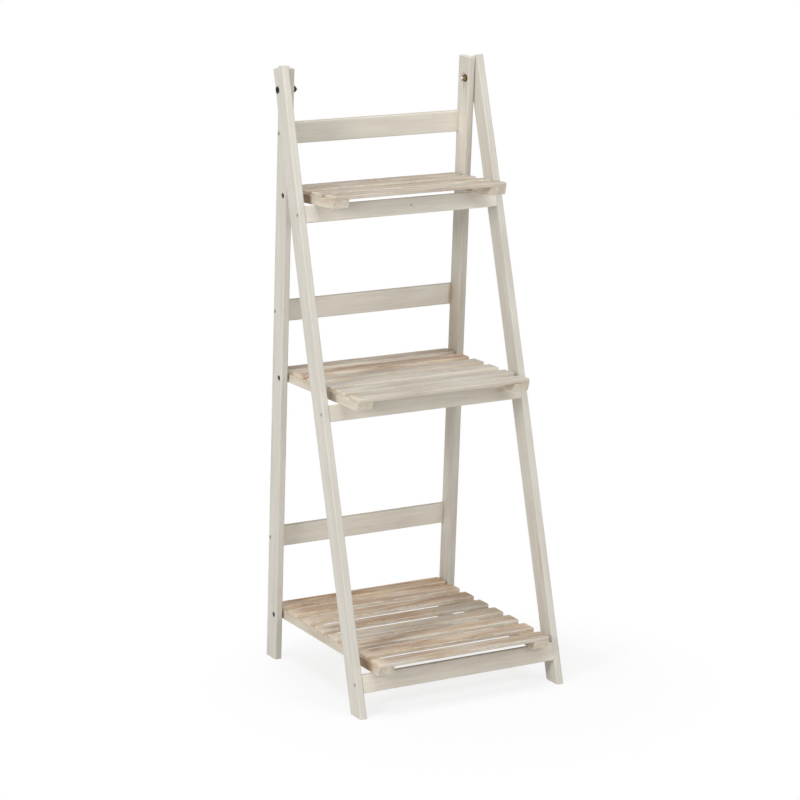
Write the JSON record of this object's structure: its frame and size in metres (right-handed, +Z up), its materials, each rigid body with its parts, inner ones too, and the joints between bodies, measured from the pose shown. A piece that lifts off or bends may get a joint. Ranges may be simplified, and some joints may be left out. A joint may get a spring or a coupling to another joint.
{
  "type": "folding plant ladder stand",
  "caption": "Folding wooden ladder stand for plants: a leaning front frame bolted to a rear frame, with slatted shelves that hinge on the rear legs and rest on the rungs.",
  "frame": {"origin": "on the floor, under the middle of the stand's box", "axes": "+Z up, -Y towards the front of the stand, +X to the right seen from the front"},
  "size_m": [0.406, 0.3998, 1.08],
  "materials": {
    "leg_wood": "whitewashed, matt",
    "rail_wood": "whitewashed, matt",
    "cleat_wood": "whitewashed, matt",
    "slat_wood": "whitewashed, worn, matt",
    "dark_steel": "blackened, satin",
    "screw_steel": "dull, satin",
    "washer_steel": "zinc plated, satin",
    "nut_steel": "yellow plated, satin"
  },
  "bodies": {
    "rear_frame": {"rear_leg_left": "leg_wood", "rear_leg_right": "leg_wood", "rear_rail_top": "rail_wood", "rear_rail_middle": "rail_wood", "rear_rail_bottom": "rail_wood", "rail_screws": "screw_steel", "pivot_bolts": "dark_steel", "pivot_spacers": "washer_steel", "nut_washers": "washer_steel", "pivot_nuts": "nut_steel"},
    "front_frame": {"front_leg_left": "leg_wood", "front_leg_right": "leg_wood", "front_rung_top": "rail_wood", "front_rung_middle": "rail_wood", "front_rung_bottom": "rail_wood", "rung_screws": "screw_steel"},
    "top_shelf": {"cleat_top_left": "cleat_wood", "cleat_top_right": "cleat_wood", "slat_top_1": "slat_wood", "slat_top_2": "slat_wood", "slat_top_3": "slat_wood", "slat_top_4": "slat_wood", "shelf_screws_top": "dark_steel", "shelf_spacers_top": "washer_steel"},
    "middle_shelf": {"cleat_middle_left": "cleat_wood", "cleat_middle_right": "cleat_wood", "slat_middle_1": "slat_wood", "slat_middle_2": "slat_wood", "slat_middle_3": "slat_wood", "slat_middle_4": "slat_wood", "slat_middle_5": "slat_wood", "slat_middle_6": "slat_wood", "shelf_screws_middle": "dark_steel", "shelf_spacers_middle": "washer_steel"},
    "bottom_shelf": {"cleat_bottom_left": "cleat_wood", "cleat_bottom_right": "cleat_wood", "slat_bottom_1": "slat_wood", "slat_bottom_2": "slat_wood", "slat_bottom_3": "slat_wood", "slat_bottom_4": "slat_wood", "slat_bottom_5": "slat_wood", "slat_bottom_6": "slat_wood", "slat_bottom_7": "slat_wood", "slat_bottom_8": "slat_wood", "shelf_screws_bottom": "dark_steel", "shelf_spacers_bottom": "washer_steel"}
  },
  "joints": [
    {"name": "front_frame_fold", "type": "hinge", "parent": "rear_frame", "child": "front_frame", "pos_m": [0, 0.115, 1.0372], "axis": [1, 0, 0], "range_deg": [0, 18.5]},
    {"name": "top_shelf_lift", "type": "hinge", "parent": "rear_frame", "child": "top_shelf", "pos_m": [0, 0.12549, 0.8525], "axis": [-1, 0, 0], "range_deg": [0, 84.1]},
    {"name": "middle_shelf_lift", "type": "hinge", "parent": "rear_frame", "child": "middle_shelf", "pos_m": [0, 0.14405, 0.52568], "axis": [-1, 0, 0], "range_deg": [0, 86.3]},
    {"name": "bottom_shelf_lift", "type": "hinge", "parent": "rear_frame", "child": "bottom_shelf", "pos_m": [0, 0.16914, 0.08389], "axis": [-1, 0, 0], "range_deg": [0, 87.1]}
  ]
}
